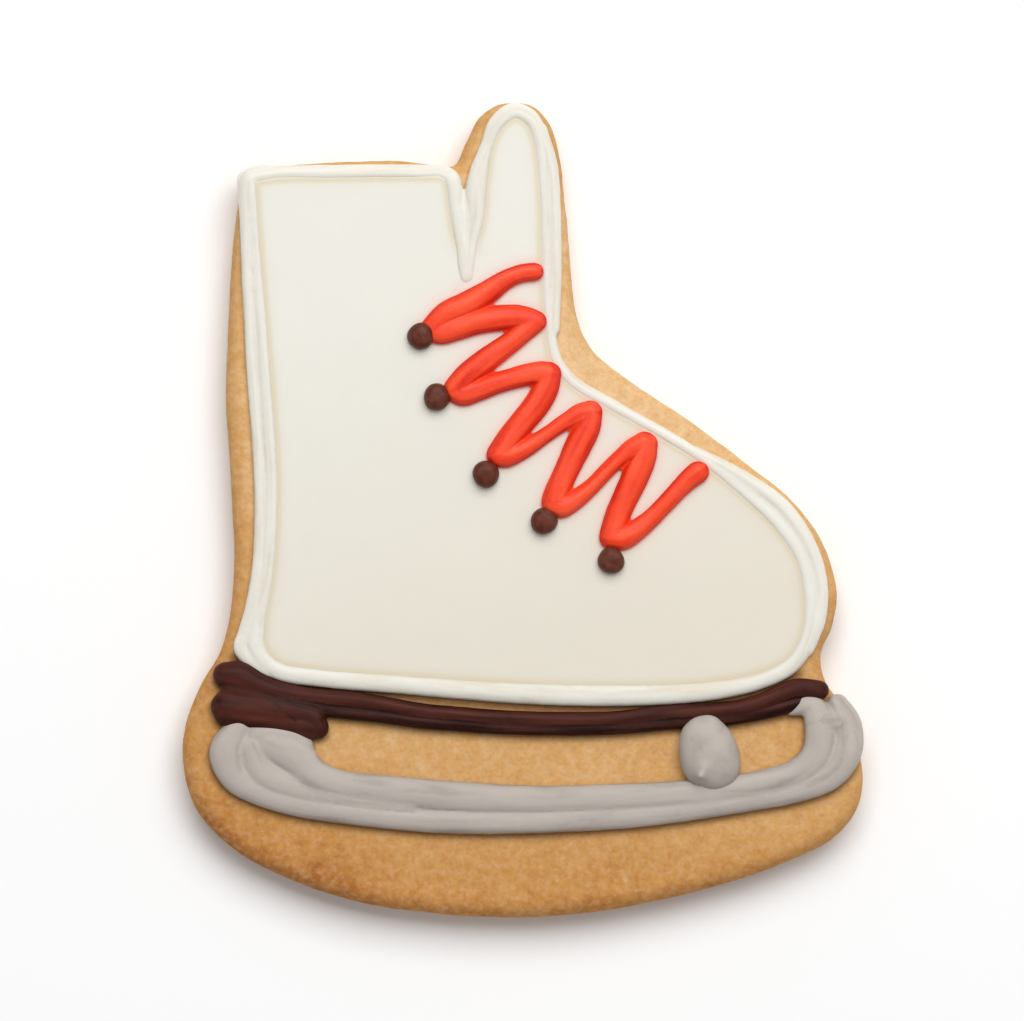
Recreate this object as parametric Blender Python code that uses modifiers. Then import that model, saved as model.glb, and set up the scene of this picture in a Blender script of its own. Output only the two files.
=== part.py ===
"""An iced biscuit cut as an ice skate boot, lying flat with its icing up.

Metres, +Z up, standing on z = 0, with its origin under the middle of its outline. The
boot's leg points to +Y and its toe to +X. The biscuit is one baked slab with a rounded
top rim. On it lie the boot's flooded panel, the piped border round the panel, the piped
laces with a dot at each lower bend, the piped sole and heel, the piped blade and the
post between sole and blade. A piped line is a swept round section that sits on what is
under it, so its underside is cut to the surface below, with a small gap.
"""
import math

import bmesh
import bpy
import numpy as np

MM = 0.001

# Driving dimensions in millimetres. Geometry is made in metres by the factor above.
BISCUIT_THICKNESS = 6.5
RIM_RADIUS = 2.0
BASE_EDGE_SHARE = 0.25
GAP = 0.3
FLOOD_HEIGHT = 1.1
EYELET_RADIUS = 1.72
EYELET_PEAK = 0.3
EYELET_SEAT, EYELET_SQUASH = 0.3, 0.85
POST_HALF_WIDTH = 3.8
POST_HALF_LENGTH = 4.65
POST_HALF_HEIGHT = 2.6
POST_SEAT = 0.5

# Height of a piped line's middle over its base, as a share of its flattened half width,
# and how far its round section is flattened.
BORDER_SEAT, BORDER_SQUASH = 0.7, 1.0
SOLE_SEAT, SOLE_SQUASH = 0.6, 1.0
LACE_SEAT, LACE_SQUASH = 0.5, 0.9
BLADE_SEAT, BLADE_SQUASH = 0.55, 0.95

# Longest spacing of the points along an edge or a line, and the rings of a section.
OUTLINE_STEP = 2.6
LINE_STEP = 2.6
SECTION_RESOLUTION = 2
END_SECTIONS = 3
RIM_SEGMENTS = 3
BALL_SIDES, BALL_RINGS = 16, 10

# Corners sharper than this are the slab's edges; points closer than this are one.
EDGE_ANGLE = math.radians(60)
SHADING_ANGLE = math.radians(50)
FLAT_ANGLE = 0.001
WELD_DISTANCE = 0.00001

# The biscuit's edge, clockwise from the back of the cuff.
BISCUIT_EDGE = [
    (-34.9, 42.1), (-31.0, 43.0), (-21.6, 43.6), (-15.4, 43.75), (-11.0, 43.25),
    (-8.7, 43.2), (-7.1, 46.25), (-5.75, 48.9), (-3.5, 50.6), (-1.0, 51.0), (1.5, 50.5),
    (3.6, 48.0), (4.6, 44.4), (5.4, 37.5), (6.0, 30.0), (6.9, 23.75), (8.6, 20.25),
    (12.1, 17.1), (19.6, 12.0), (27.1, 6.5), (33.4, 1.5), (37.1, -3.5), (39.1, -10.0),
    (38.6, -14.4), (37.3, -18.1), (37.8, -21.25), (40.0, -24.4), (41.8, -28.75),
    (42.5, -33.75), (41.5, -38.1), (38.4, -41.5), (32.75, -44.1), (25.25, -46.75),
    (14.6, -49.4), (6.5, -50.6), (-1.0, -51.0), (-10.4, -50.6), (-19.75, -49.25),
    (-29.1, -46.4), (-36.6, -42.25), (-41.0, -37.25), (-42.5, -31.9), (-42.25, -26.9),
    (-40.4, -21.9), (-37.9, -17.5), (-36.75, -13.1), (-36.25, -5.6), (-36.6, 3.75),
    (-37.3, 15.0), (-36.9, 23.1), (-36.4, 32.5), (-35.75, 38.1),
]

# Piped lines: (x, y, half width) along each one's middle.
BORDER_CUFF = [
    (-6.75, 30.2, 0.75), (-7.1, 31.9, 0.9), (-7.5, 34.0, 1.0), (-7.95, 36.0, 0.95),
    (-8.5, 40.0, 0.8), (-10.2, 42.0, 0.8), (-12.9, 42.3, 0.8), (-22.9, 42.2, 0.8),
    (-31.0, 42.0, 0.8), (-33.9, 41.5, 1.1),
]
BORDER_BOOT = [
    (-34.1, 41.3, 1.0), (-33.7, 37.0, 0.85), (-33.2, 30.5, 0.85), (-32.6, 22.5, 0.9),
    (-31.9, 13.75, 0.95), (-31.5, 6.25, 1.0), (-31.5, -1.25, 1.05), (-32.1, -8.75, 1.05),
    (-33.1, -14.0, 1.15), (-33.2, -17.5, 1.4), (-30.8, -20.0, 1.2),
    (-25.4, -21.1, 1.1), (-15.4, -21.7, 1.1), (-2.9, -22.5, 1.15), (9.6, -23.0, 1.2),
    (22.1, -22.6, 1.2), (29.6, -21.2, 1.15), (33.6, -19.2, 1.1), (35.5, -15.9, 1.05),
    (35.9, -11.25, 1.0), (34.9, -6.25, 1.0), (32.0, -1.9, 1.0), (27.0, 2.8, 0.95),
    (22.1, 6.5, 0.85), (17.1, 9.6, 0.85), (10.9, 13.1, 0.85), (6.1, 16.0, 0.85),
    (4.0, 18.9, 0.85), (3.2, 23.75, 0.75), (2.75, 31.25, 0.75), (2.6, 38.75, 0.75),
    (2.3, 46.0, 0.8), (1.1, 49.0, 0.85), (-1.1, 49.95, 0.85), (-3.3, 48.5, 0.85),
    (-4.5, 45.4, 0.8), (-5.5, 42.2, 1.15), (-5.95, 39.5, 1.3), (-6.0, 35.9, 1.0),
    (-6.2, 32.0, 0.85), (-6.55, 29.5, 0.85),
]
BORDER_BACK_PASS = [
    (-34.5, 40.8, 1.15), (-34.5, 35.0, 0.8), (-34.3, 27.5, 0.75), (-33.9, 20.0, 0.75),
    (-33.4, 12.5, 0.75), (-32.9, 5.0, 0.75), (-32.8, -1.25, 0.75), (-33.1, -7.5, 0.8),
    (-33.9, -12.5, 0.85), (-34.7, -15.4, 0.9), (-35.3, -17.3, 0.95),
]
BORDER_TONGUE_PASS = [
    (2.4, 47.6, 0.6), (3.6, 43.0, 0.7), (3.95, 36.25, 0.75), (4.05, 28.75, 0.75),
    (3.9, 22.5, 0.65),
]
BORDER_TOE_PASS = [
    (21.5, 7.4, 0.6), (27.5, 4.0, 0.9), (32.6, 0.2, 0.95), (35.8, -4.6, 0.95),
    (37.2, -9.4, 0.85), (37.0, -13.75, 0.8), (35.6, -17.5, 0.7),
]

# The laces run down and back up; each run ends where the next one starts.
LACE_RUNS = [
    [(1.6, 30.0, 1.0), (-1.4, 29.1, 1.2), (-5.7, 26.8, 1.35), (-10.0, 24.3, 1.45),
     (-11.6, 22.9, 1.4)],
    [(-11.6, 22.9, 1.4), (-9.4, 22.1, 1.3), (-5.0, 23.4, 1.25), (-0.2, 24.15, 1.2),
     (1.8, 23.6, 1.1)],
    [(1.8, 23.6, 1.1), (-1.2, 20.6, 1.3), (-5.6, 17.3, 1.4), (-9.0, 15.1, 1.4)],
    [(-9.0, 15.1, 1.4), (-7.2, 14.4, 1.2), (-2.5, 16.1, 1.1), (1.8, 17.3, 1.2),
     (3.5, 16.7, 1.2)],
    [(3.5, 16.7, 1.2), (2.5, 13.7, 1.4), (-0.6, 9.9, 1.4), (-3.3, 6.9, 1.5)],
    [(-3.3, 6.9, 1.5), (-1.5, 6.3, 1.1), (2.5, 8.9, 1.0), (6.7, 11.7, 1.1),
     (8.7, 11.9, 1.3)],
    [(8.7, 11.9, 1.3), (8.0, 8.9, 1.5), (6.0, 4.7, 1.5), (4.1, 0.7, 1.5)],
    [(4.1, 0.7, 1.5), (6.2, 0.3, 1.1), (10.0, 3.7, 1.0), (13.8, 7.5, 1.1),
     (15.5, 7.9, 1.3)],
    [(15.5, 7.9, 1.3), (15.0, 4.9, 1.5), (12.8, 0.3, 1.5), (11.2, -3.8, 1.5)],
    [(11.2, -3.8, 1.5), (13.3, -3.8, 1.2), (17.3, 0.1, 1.15), (20.1, 3.4, 1.2),
     (21.7, 5.0, 1.3)],
]
EYELET_PLACES = [(-12.9, 21.9), (-10.75, 14.25), (-4.75, 4.6), (2.6, -1.25), (11.0, -6.25)]

SOLE_LINES = [
    [(-37.0, -21.1, 1.85), (-35.0, -21.0, 2.0), (-32.6, -22.1, 1.5), (-27.9, -23.4, 1.1),
     (-20.4, -24.3, 0.95), (-11.6, -25.25, 0.95), (-2.9, -25.8, 0.95),
     (7.1, -25.8, 0.95), (17.1, -25.1, 0.95), (24.6, -24.5, 0.95), (30.9, -23.2, 1.0),
     (35.1, -22.2, 0.95), (37.3, -22.4, 0.9)],
    [(-29.5, -23.8, 0.9), (-23.5, -24.9, 0.9), (-15.4, -26.0, 0.9), (-6.6, -26.9, 0.95),
     (-0.4, -27.25, 0.95), (9.6, -27.25, 0.95), (17.1, -26.5, 0.95), (24.6, -25.7, 0.9),
     (30.9, -24.5, 0.9), (34.0, -23.7, 0.8)],
    [(-37.0, -24.5, 1.95), (-34.75, -24.7, 1.9), (-30.4, -25.0, 1.8),
     (-26.7, -25.9, 1.5), (-25.8, -27.3, 1.35)],
    [(-34.5, -23.0, 1.4), (-30.0, -24.0, 1.3), (-26.0, -25.2, 1.3)],
]

BLADE_LINES = [
    [(-35.4, -27.9, 1.5), (-37.0, -30.2, 2.2), (-35.9, -33.5, 1.9), (-33.0, -35.5, 1.7),
     (-27.9, -37.1, 1.65), (-20.4, -38.2, 1.6), (-11.6, -39.0, 1.6), (-2.9, -39.2, 1.6),
     (7.1, -38.8, 1.55), (17.1, -38.1, 1.5), (27.1, -36.8, 1.5), (34.6, -35.3, 1.6),
     (38.6, -33.1, 1.8), (40.5, -29.9, 1.9), (40.5, -26.8, 1.8), (39.4, -24.8, 1.4)],
    [(-31.6, -29.2, 2.0), (-28.6, -30.7, 2.3), (-26.2, -33.1, 2.1), (-23.2, -34.3, 1.9),
     (-16.6, -35.1, 1.9), (-7.9, -35.9, 1.95), (2.1, -36.2, 1.9), (12.1, -35.9, 1.8),
     (22.1, -35.3, 1.75), (29.6, -34.1, 1.7), (34.4, -32.4, 1.7), (36.8, -29.9, 1.8),
     (37.2, -27.1, 1.8), (36.2, -25.0, 1.4), (34.2, -24.9, 0.9)],
    [(-34.0, -29.8, 1.8), (-32.4, -33.0, 2.0), (-28.0, -35.2, 1.7), (-22.0, -36.6, 1.5),
     (-14.0, -37.3, 1.3)],
    [(-30.6, -28.6, 1.2), (-27.6, -29.2, 1.2)],
    [(36.9, -26.4, 1.5), (39.3, -26.3, 1.5)],
]
POST_PLACE = (23.25, -30.25)
POST_PEAK = [(22.3, -32.4, 2.6, 1.7), (21.95, -33.1, 3.9, 0.9), (21.8, -33.5, 4.6, 0.35)]

COLOURS = {
    "biscuit": ((0.62, 0.36, 0.14), 0.75),
    "boot_flood": ((0.86, 0.82, 0.74), 0.38),
    "boot_border": ((0.88, 0.87, 0.82), 0.42),
    "laces": ((0.86, 0.09, 0.025), 0.42),
    "eyelet": ((0.085, 0.028, 0.017), 0.4),
    "sole": ((0.055, 0.02, 0.015), 0.42),
    "blade": ((0.50, 0.46, 0.42), 0.55),
    "blade_post": ((0.50, 0.46, 0.42), 0.55),
}


def clear_scene():
    """Remove what the scene holds."""
    for thing in list(bpy.data.objects):
        bpy.data.objects.remove(thing, do_unlink=True)


def icing_material(name):
    """One plain finish for a sub-part, from its colour and roughness."""
    colour, roughness = COLOURS[name]
    material = bpy.data.materials.new(name)
    material.use_nodes = True
    shader = material.node_tree.nodes["Principled BSDF"]
    shader.inputs["Base Color"].default_value = (*colour, 1.0)
    shader.inputs["Roughness"].default_value = roughness
    shader.inputs["Metallic"].default_value = 0.0
    return material


def smooth_path(points, step, closed=False):
    """Rows on a centripetal Catmull-Rom curve through the points, `step` apart or closer."""
    rows = np.array(points, dtype=float)
    if closed:
        rows = np.vstack([rows[-1:], rows, rows[:2]])
    else:
        rows = np.vstack([2 * rows[0] - rows[1], rows, 2 * rows[-1] - rows[-2]])
    out = []
    for p0, p1, p2, p3 in zip(rows, rows[1:], rows[2:], rows[3:]):
        t1 = math.sqrt(np.linalg.norm(p1[:2] - p0[:2]))
        t2 = t1 + math.sqrt(np.linalg.norm(p2[:2] - p1[:2]))
        t3 = t2 + math.sqrt(np.linalg.norm(p3[:2] - p2[:2]))
        count = max(2, math.ceil(np.linalg.norm(p2[:2] - p1[:2]) / step))
        for t in np.linspace(t1, t2, count, endpoint=False):
            a1 = (t1 - t) / t1 * p0 + t / t1 * p1
            a2 = (t2 - t) / (t2 - t1) * p1 + (t - t1) / (t2 - t1) * p2
            a3 = (t3 - t) / (t3 - t2) * p2 + (t - t2) / (t3 - t2) * p3
            b1 = (t2 - t) / t2 * a1 + t / t2 * a2
            b2 = (t3 - t) / (t3 - t1) * a2 + (t - t1) / (t3 - t1) * a3
            out.append((t2 - t) / (t2 - t1) * b1 + (t - t1) / (t2 - t1) * b2)
    if not closed:
        out.append(rows[-2])
    return np.array(out)


def outward_normals(loop):
    """Unit normals of a clockwise loop of points."""
    along = np.roll(loop, -1, axis=0) - np.roll(loop, 1, axis=0)
    normals = np.stack([-along[:, 1], along[:, 0]], axis=1)
    return normals / np.linalg.norm(normals, axis=1)[:, None]


EDGE_LOOP = smooth_path(BISCUIT_EDGE, OUTLINE_STEP, closed=True)


def inset_from_edge(x, y):
    """How far a point lies inside the biscuit's edge, 0 outside it."""
    start = EDGE_LOOP
    run = np.roll(EDGE_LOOP, -1, axis=0) - start
    offset = np.array([x, y]) - start
    share = np.clip((offset * run).sum(axis=1) / (run * run).sum(axis=1), 0.0, 1.0)
    nearest = np.linalg.norm(offset - share[:, None] * run, axis=1).min()
    end = start + run
    spans = (start[:, 1] > y) != (end[:, 1] > y)
    crossing = start[:, 0] + offset[:, 1] * run[:, 0] / np.where(run[:, 1] == 0, 1, run[:, 1])
    inside = np.count_nonzero(spans & (x < crossing)) % 2
    return nearest if inside else 0.0


def biscuit_top(x, y):
    """Height of the biscuit's top over a point, lower over its rounded rim."""
    short = RIM_RADIUS - min(inset_from_edge(x, y), RIM_RADIUS)
    return BISCUIT_THICKNESS - RIM_RADIUS + math.sqrt(RIM_RADIUS ** 2 - short ** 2)


def flood_top(x, y):
    """Height of the flooded panel's top, the same all over."""
    return BISCUIT_THICKNESS + FLOOD_HEIGHT


def add_object(name, mesh, collection):
    """A new object with the mesh, linked to the collection."""
    thing = bpy.data.objects.new(name, mesh)
    collection.objects.link(thing)
    return thing


def mesh_from_curve(name, curve):
    """The curve's mesh with its caps welded on; the curve is removed."""
    holder = add_object(name, curve, TOOLS)
    bpy.context.view_layer.update()
    evaluated = holder.evaluated_get(bpy.context.evaluated_depsgraph_get())
    mesh = bpy.data.meshes.new_from_object(evaluated)
    bpy.data.objects.remove(holder, do_unlink=True)
    bpy.data.curves.remove(curve)
    form = bmesh.new()
    form.from_mesh(mesh)
    bmesh.ops.remove_doubles(form, verts=form.verts, dist=WELD_DISTANCE)
    bmesh.ops.recalc_face_normals(form, faces=form.faces)
    form.to_mesh(mesh)
    form.free()
    return mesh


def flat_slab(name, loop, bottom, top):
    """A mesh of the closed loop's area, from one height to the other."""
    curve = bpy.data.curves.new(name, "CURVE")
    curve.dimensions = "2D"
    curve.fill_mode = "BOTH"
    curve.extrude = (top - bottom) / 2 * MM
    spline = curve.splines.new("POLY")
    spline.points.add(len(loop) - 1)
    for point, (x, y) in zip(spline.points, loop):
        point.co = (x * MM, y * MM, 0.0, 1.0)
    spline.use_cyclic_u = True
    mesh = mesh_from_curve(name, curve)
    form = bmesh.new()
    form.from_mesh(mesh)
    bmesh.ops.dissolve_limit(form, angle_limit=FLAT_ANGLE, verts=form.verts, edges=form.edges)
    bmesh.ops.translate(form, verts=form.verts, vec=(0, 0, (top + bottom) / 2 * MM))
    form.to_mesh(mesh)
    form.free()
    return mesh


def swept_section(name, sections):
    """A round section swept through (x, y, z, radius) places, with flat caps."""
    curve = bpy.data.curves.new(name, "CURVE")
    curve.dimensions = "3D"
    curve.twist_mode = "Z_UP"
    curve.bevel_depth = MM
    curve.bevel_resolution = SECTION_RESOLUTION
    curve.use_fill_caps = True
    spline = curve.splines.new("POLY")
    spline.points.add(len(sections) - 1)
    for point, (x, y, z, radius) in zip(spline.points, sections):
        point.co = (x * MM, y * MM, z * MM, 1.0)
        point.radius = radius
    return mesh_from_curve(name, curve)


def unit(vector):
    """The vector at length 1."""
    return vector / np.linalg.norm(vector)


def piped_line(name, points, surface, seat, squash, grow=0.0):
    """A line piped along the points: a swept round section laid on a surface."""
    path = smooth_path(points, LINE_STEP)
    path[:, 2] += grow
    rows = [tuple(row) for row in path]
    for end, beyond in ((0, unit(path[0] - path[1])), (-1, unit(path[-1] - path[-2]))):
        x, y, half_width = path[end]
        for turn in range(1, END_SECTIONS + 1):
            angle = turn / (END_SECTIONS + 0.5) * math.pi / 2
            reach = half_width * math.sin(angle)
            row = (x + beyond[0] * reach, y + beyond[1] * reach, half_width * math.cos(angle))
            rows.insert(0 if end == 0 else len(rows), row)
    mesh = swept_section(name, [(x, y, 0.0, half_width) for x, y, half_width in rows])

    inner = path[:, 2] - grow
    for vertex in mesh.vertices:
        away = np.hypot(path[:, 0] - vertex.co.x / MM, path[:, 1] - vertex.co.y / MM)
        nearest = np.argmin(away)
        base = surface(path[nearest, 0], path[nearest, 1])
        vertex.co.z = vertex.co.z * squash + (base + inner[nearest] * seat * squash) * MM
    return mesh


def ball(name, place, half_sizes, peak=0.0):
    """A squashed ball with its top drawn up into a small peak."""
    form = bmesh.new()
    bmesh.ops.create_uvsphere(form, u_segments=BALL_SIDES, v_segments=BALL_RINGS, radius=MM)
    top = max(form.verts, key=lambda vertex: vertex.co.z)
    bmesh.ops.scale(form, vec=half_sizes, verts=form.verts)
    top.co.z += peak * MM
    bmesh.ops.translate(form, vec=[value * MM for value in place], verts=form.verts)
    mesh = bpy.data.meshes.new(name)
    form.to_mesh(mesh)
    form.free()
    return mesh


def combine(name, mesh, operation, others, solver="EXACT"):
    """The mesh joined with, or cut by, the other meshes, in one Boolean.

    Lines that run together have ends nearly on one another, which the exact solver can
    leave open, so the piped lines are joined and cut with the manifold solver.
    """
    group = bpy.data.collections.new(name + "_operands")
    TOOLS.children.link(group)
    for number, other in enumerate(others):
        operand = add_object(f"{name}_operand_{number}", other, group)
        operand.hide_render = True
        operand.display_type = "WIRE"
    holder = add_object(name + "_work", mesh, TOOLS)
    cut = holder.modifiers.new(operation.lower(), "BOOLEAN")
    cut.operation = operation
    cut.solver = solver
    cut.operand_type = "COLLECTION"
    cut.collection = group
    bpy.context.view_layer.update()
    evaluated = holder.evaluated_get(bpy.context.evaluated_depsgraph_get())
    result = bpy.data.meshes.new_from_object(evaluated)
    bpy.data.objects.remove(holder, do_unlink=True)
    for operand in list(group.objects):
        bpy.data.objects.remove(operand, do_unlink=True)
    bpy.data.collections.remove(group)
    return result


def joined_lines(name, lines, surface, seat, squash, grow=0.0):
    """Several piped lines of one icing, run together into one body."""
    meshes = [piped_line(f"{name}_{number}", line, surface, seat, squash, grow)
              for number, line in enumerate(lines)]
    return combine(name, meshes[0], "UNION", meshes[1:], "MANIFOLD")


def biscuit_form(name, grow=0.0):
    """The slab with its rounded rim; `grow` makes it larger all round, for a cutter."""
    loop = EDGE_LOOP + outward_normals(EDGE_LOOP) * grow
    mesh = flat_slab(name, loop, -grow, BISCUIT_THICKNESS + grow)
    form = bmesh.new()
    form.from_mesh(mesh)
    weight = form.edges.layers.float.new("bevel_weight_edge")
    middle = BISCUIT_THICKNESS / 2 * MM
    for edge in form.edges:
        if edge.calc_face_angle(0.0) > EDGE_ANGLE:
            level = (edge.verts[0].co.z + edge.verts[1].co.z) / 2
            edge[weight] = 1.0 if level > middle else BASE_EDGE_SHARE
    form.to_mesh(mesh)
    form.free()
    holder = add_object(name + "_work", mesh, TOOLS)
    rim = holder.modifiers.new("rounded_rim", "BEVEL")
    rim.limit_method = "WEIGHT"
    rim.width = (RIM_RADIUS + grow) * MM
    rim.segments = RIM_SEGMENTS
    bpy.context.view_layer.update()
    evaluated = holder.evaluated_get(bpy.context.evaluated_depsgraph_get())
    result = bpy.data.meshes.new_from_object(evaluated)
    bpy.data.objects.remove(holder, do_unlink=True)
    return result


def border_form(grow=0.0):
    """The white piped border: cuff, boot outline and the passes piped twice."""
    lines = [BORDER_BOOT, BORDER_CUFF, BORDER_BACK_PASS, BORDER_TONGUE_PASS, BORDER_TOE_PASS]
    return joined_lines("border", lines, biscuit_top, BORDER_SEAT, BORDER_SQUASH, grow)


def panel_slab(bottom, top):
    """A slab of the boot panel's area, out to the middle of its border."""
    edge = [(x, y) for x, y, _ in BORDER_CUFF[:-1] + BORDER_BOOT[:-1]]
    return flat_slab("panel", smooth_path(edge, LINE_STEP, closed=True)[:, :2], bottom, top)


def panel_cutter():
    """The flooded panel and a gap over it, to cut what lies on the panel."""
    return panel_slab(BISCUIT_THICKNESS - GAP, BISCUIT_THICKNESS + FLOOD_HEIGHT + GAP)


def lace_form():
    """The zigzag lace, one piped line with sharp turns."""
    return joined_lines("lace", LACE_RUNS, flood_top, LACE_SEAT, LACE_SQUASH)


def sole_form():
    """The sole's two passes and the heel piled up at the back."""
    return joined_lines("sole", SOLE_LINES, biscuit_top, SOLE_SEAT, SOLE_SQUASH)


def blade_form(grow=0.0):
    """The blade's two long passes, turned up at both ends."""
    return joined_lines("blade", BLADE_LINES, biscuit_top, BLADE_SEAT, BLADE_SQUASH, grow)


def eyelet_form(place, grow=0.0):
    """A round dot on the flooded panel, with a small peak."""
    x, y = place
    size = EYELET_RADIUS + grow
    middle = BISCUIT_THICKNESS + FLOOD_HEIGHT + EYELET_RADIUS * EYELET_SEAT
    sizes = (size, size, EYELET_RADIUS * EYELET_SQUASH + grow)
    return ball("eyelet", (x, y, middle), sizes, EYELET_PEAK)


def post_form(grow=0.0):
    """The tall dab between sole and blade, with its peak leaning to the front."""
    x, y = POST_PLACE
    middle = BISCUIT_THICKNESS + POST_HALF_HEIGHT * POST_SEAT
    sizes = (POST_HALF_WIDTH + grow, POST_HALF_LENGTH + grow, POST_HALF_HEIGHT + grow)
    dab = ball("post_dab", (x, y, middle), sizes)
    sections = [(px, py, BISCUIT_THICKNESS + pz, radius + grow)
                for px, py, pz, radius in POST_PEAK]
    return combine("post", dab, "UNION", [swept_section("post_peak", sections)])


def finish(name, mesh, kind=None):
    """The named sub-part, shaded smooth, with its own material."""
    thing = add_object(name, mesh, BISCUIT)
    mesh.name = name
    mesh.materials.clear()
    mesh.materials.append(icing_material(kind or name))
    mesh.shade_smooth()
    mesh.set_sharp_from_angle(angle=SHADING_ANGLE)
    return thing


def new_collection(name):
    """A collection of that name in the scene."""
    collection = bpy.data.collections.new(name)
    bpy.context.scene.collection.children.link(collection)
    return collection


def build():
    """Every sub-part, each cut back from what it lies on and from what crosses over it."""
    fat_biscuit = biscuit_form("fat_biscuit", GAP)
    fat_border = border_form(GAP)
    fat_blade = blade_form(GAP)
    fat_post = post_form(GAP)
    fat_eyelets = [eyelet_form(place, GAP) for place in EYELET_PLACES]

    finish("biscuit", biscuit_form("biscuit_slab"))

    crossed = [fat_biscuit.copy()]
    border = combine("border", border_form(), "DIFFERENCE", crossed, "MANIFOLD")
    finish("boot_border", border)

    panel = panel_slab(BISCUIT_THICKNESS + GAP, BISCUIT_THICKNESS + FLOOD_HEIGHT)
    finish("boot_flood", combine("flood", panel, "DIFFERENCE", [fat_border.copy()]))

    crossed = [fat_border.copy(), panel_cutter(), *fat_eyelets]
    finish("laces", combine("laces", lace_form(), "DIFFERENCE", crossed, "MANIFOLD"))

    for number, place in enumerate(EYELET_PLACES, start=1):
        dot = combine("dot", eyelet_form(place), "DIFFERENCE", [panel_cutter()])
        finish(f"eyelet_{number}", dot, "eyelet")

    crossed = [fat_biscuit.copy(), fat_border, fat_blade, fat_post.copy()]
    finish("sole", combine("sole", sole_form(), "DIFFERENCE", crossed, "MANIFOLD"))

    crossed = [fat_biscuit.copy(), fat_post]
    finish("blade", combine("blade", blade_form(), "DIFFERENCE", crossed, "MANIFOLD"))

    finish("blade_post", combine("post", post_form(), "DIFFERENCE", [fat_biscuit]))


clear_scene()
BISCUIT = new_collection("iced_skate_biscuit")
TOOLS = new_collection("cutters")
build()
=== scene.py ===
"""The looks of the iced skate biscuit: a baked slab with flooded and piped sugar icing.

Sizes are in millimetres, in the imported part's own frame, and turn to metres where a mesh
is finished. The slab and the flooded panel are sheets with a rim. Each piped icing is a
set of rounded strokes that run together as wet icing does, and sits on what carries it.
"""
import math

import bpy
import numpy as np
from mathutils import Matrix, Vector, kdtree, noise
from mathutils.geometry import delaunay_2d_cdt


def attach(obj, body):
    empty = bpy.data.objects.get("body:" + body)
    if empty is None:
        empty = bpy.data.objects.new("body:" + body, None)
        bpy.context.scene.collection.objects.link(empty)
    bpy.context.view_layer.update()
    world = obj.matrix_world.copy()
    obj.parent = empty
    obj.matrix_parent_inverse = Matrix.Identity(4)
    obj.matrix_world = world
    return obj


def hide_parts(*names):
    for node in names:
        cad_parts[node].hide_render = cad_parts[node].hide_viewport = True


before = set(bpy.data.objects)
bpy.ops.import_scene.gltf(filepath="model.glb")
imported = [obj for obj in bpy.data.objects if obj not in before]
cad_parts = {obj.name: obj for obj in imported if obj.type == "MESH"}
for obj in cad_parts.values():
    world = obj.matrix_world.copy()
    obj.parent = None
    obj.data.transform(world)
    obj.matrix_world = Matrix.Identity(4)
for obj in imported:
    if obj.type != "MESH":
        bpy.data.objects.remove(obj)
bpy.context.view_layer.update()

MM = 0.001

# Heights over the table, and the radius of the biscuit's rounded top rim.
BISCUIT_TOP = 6.5
PANEL_THICKNESS = 1.1
PANEL_TOP = BISCUIT_TOP + PANEL_THICKNESS
RIM_RADIUS = 2.0

# Spacing of the points on an edge, on a stroke's middle, on a search line, and on the top
# sheets of the biscuit and the panel.
EDGE_STEP = 0.4
STROKE_STEP = 0.4
TRACE_STEP = 0.08
BISCUIT_SPACING = 0.45
PANEL_SPACING = 0.6
# How far a sheet's points stray from an even grid, and stay off its edge, in spacings.
GRID_JITTER = 0.2
GRID_ROOM = 0.7

# The biscuit's wall, (inset, height) from its rim down to the edge of its flat underside,
# and the degrees round the rim at which its top sheet has rows of points.
BISCUIT_WALL = [
    (0.0, 4.1), (0.0, 3.6), (0.02, 3.0), (0.05, 2.4), (0.1, 1.8), (0.16, 1.25),
    (0.25, 0.8), (0.4, 0.45), (0.65, 0.18), (1.0, 0.03), (1.4, 0.0),
]
RIM_ANGLES = range(12, 91, 13)
# The panel's wall, whose foot is sunk into the biscuit, and its rows of points along its
# edge, closest where the border's side meets it.
PANEL_WALL = [(0.0, 6.6), (0.0, 6.35)]
PANEL_INSETS = [0.4, 0.6, 0.75, 0.88, 1.0, 1.12, 1.26, 1.42, 1.6, 1.85, 2.2]

# Relief: (height, size of its lumps, octaves, shift) for each layer of noise.
DOUGH_RELIEF = [(0.10, 11.0, 2, 0.0), (0.045, 2.6, 2, 7.0), (0.03, 1.0, 3, 31.0)]
PANEL_RELIEF = [(0.03, 9.0, 2, 5.0), (0.006, 1.8, 2, 9.0)]
# How far the relief sinks the dough on the whole, and the height it fades out below.
DOUGH_SINK = 0.08
FLAT_FOOT = 0.5

# How much browner each part of the biscuit bakes, starting from its palest.
PALEST = -0.02
BROWNER = {"edge": 0.12, "lower half": 0.26, "lowest edge": 0.27, "back": 0.2,
           "top edge": 0.25, "heel corner": 0.16, "patches": 0.06}
HEEL_CORNER = (-30.0, -44.0)
# How dark the painted shade on the dough is in the pocket between border and sole, and
# just below the sole and the blade, where their shadows fall.
PAINTED_SHADE_POCKET = 0.85
PAINTED_SHADE_BELOW = 0.45

# How deep the panel dips under the border and beside it, and how much higher its middle is.
GROOVE_DEPTH = 0.3
GROOVE_LIP = 0.02
PANEL_CROWN = 0.06
# How strongly the laces' red bleeds into the panel beside them.
RED_BLEED = 0.28

# Piped icing: points round a stroke, and the degrees from its full width to its end's tip.
STROKE_SIDES = 20
ROUND_END = (22, 42, 60, 75, 85)
# The height of the ridges and of the lumps on its skin, and how far it spreads sideways.
RIDGE_HEIGHT = 0.035
LUMP_HEIGHT = 0.03
SPREAD = 0.05

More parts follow.
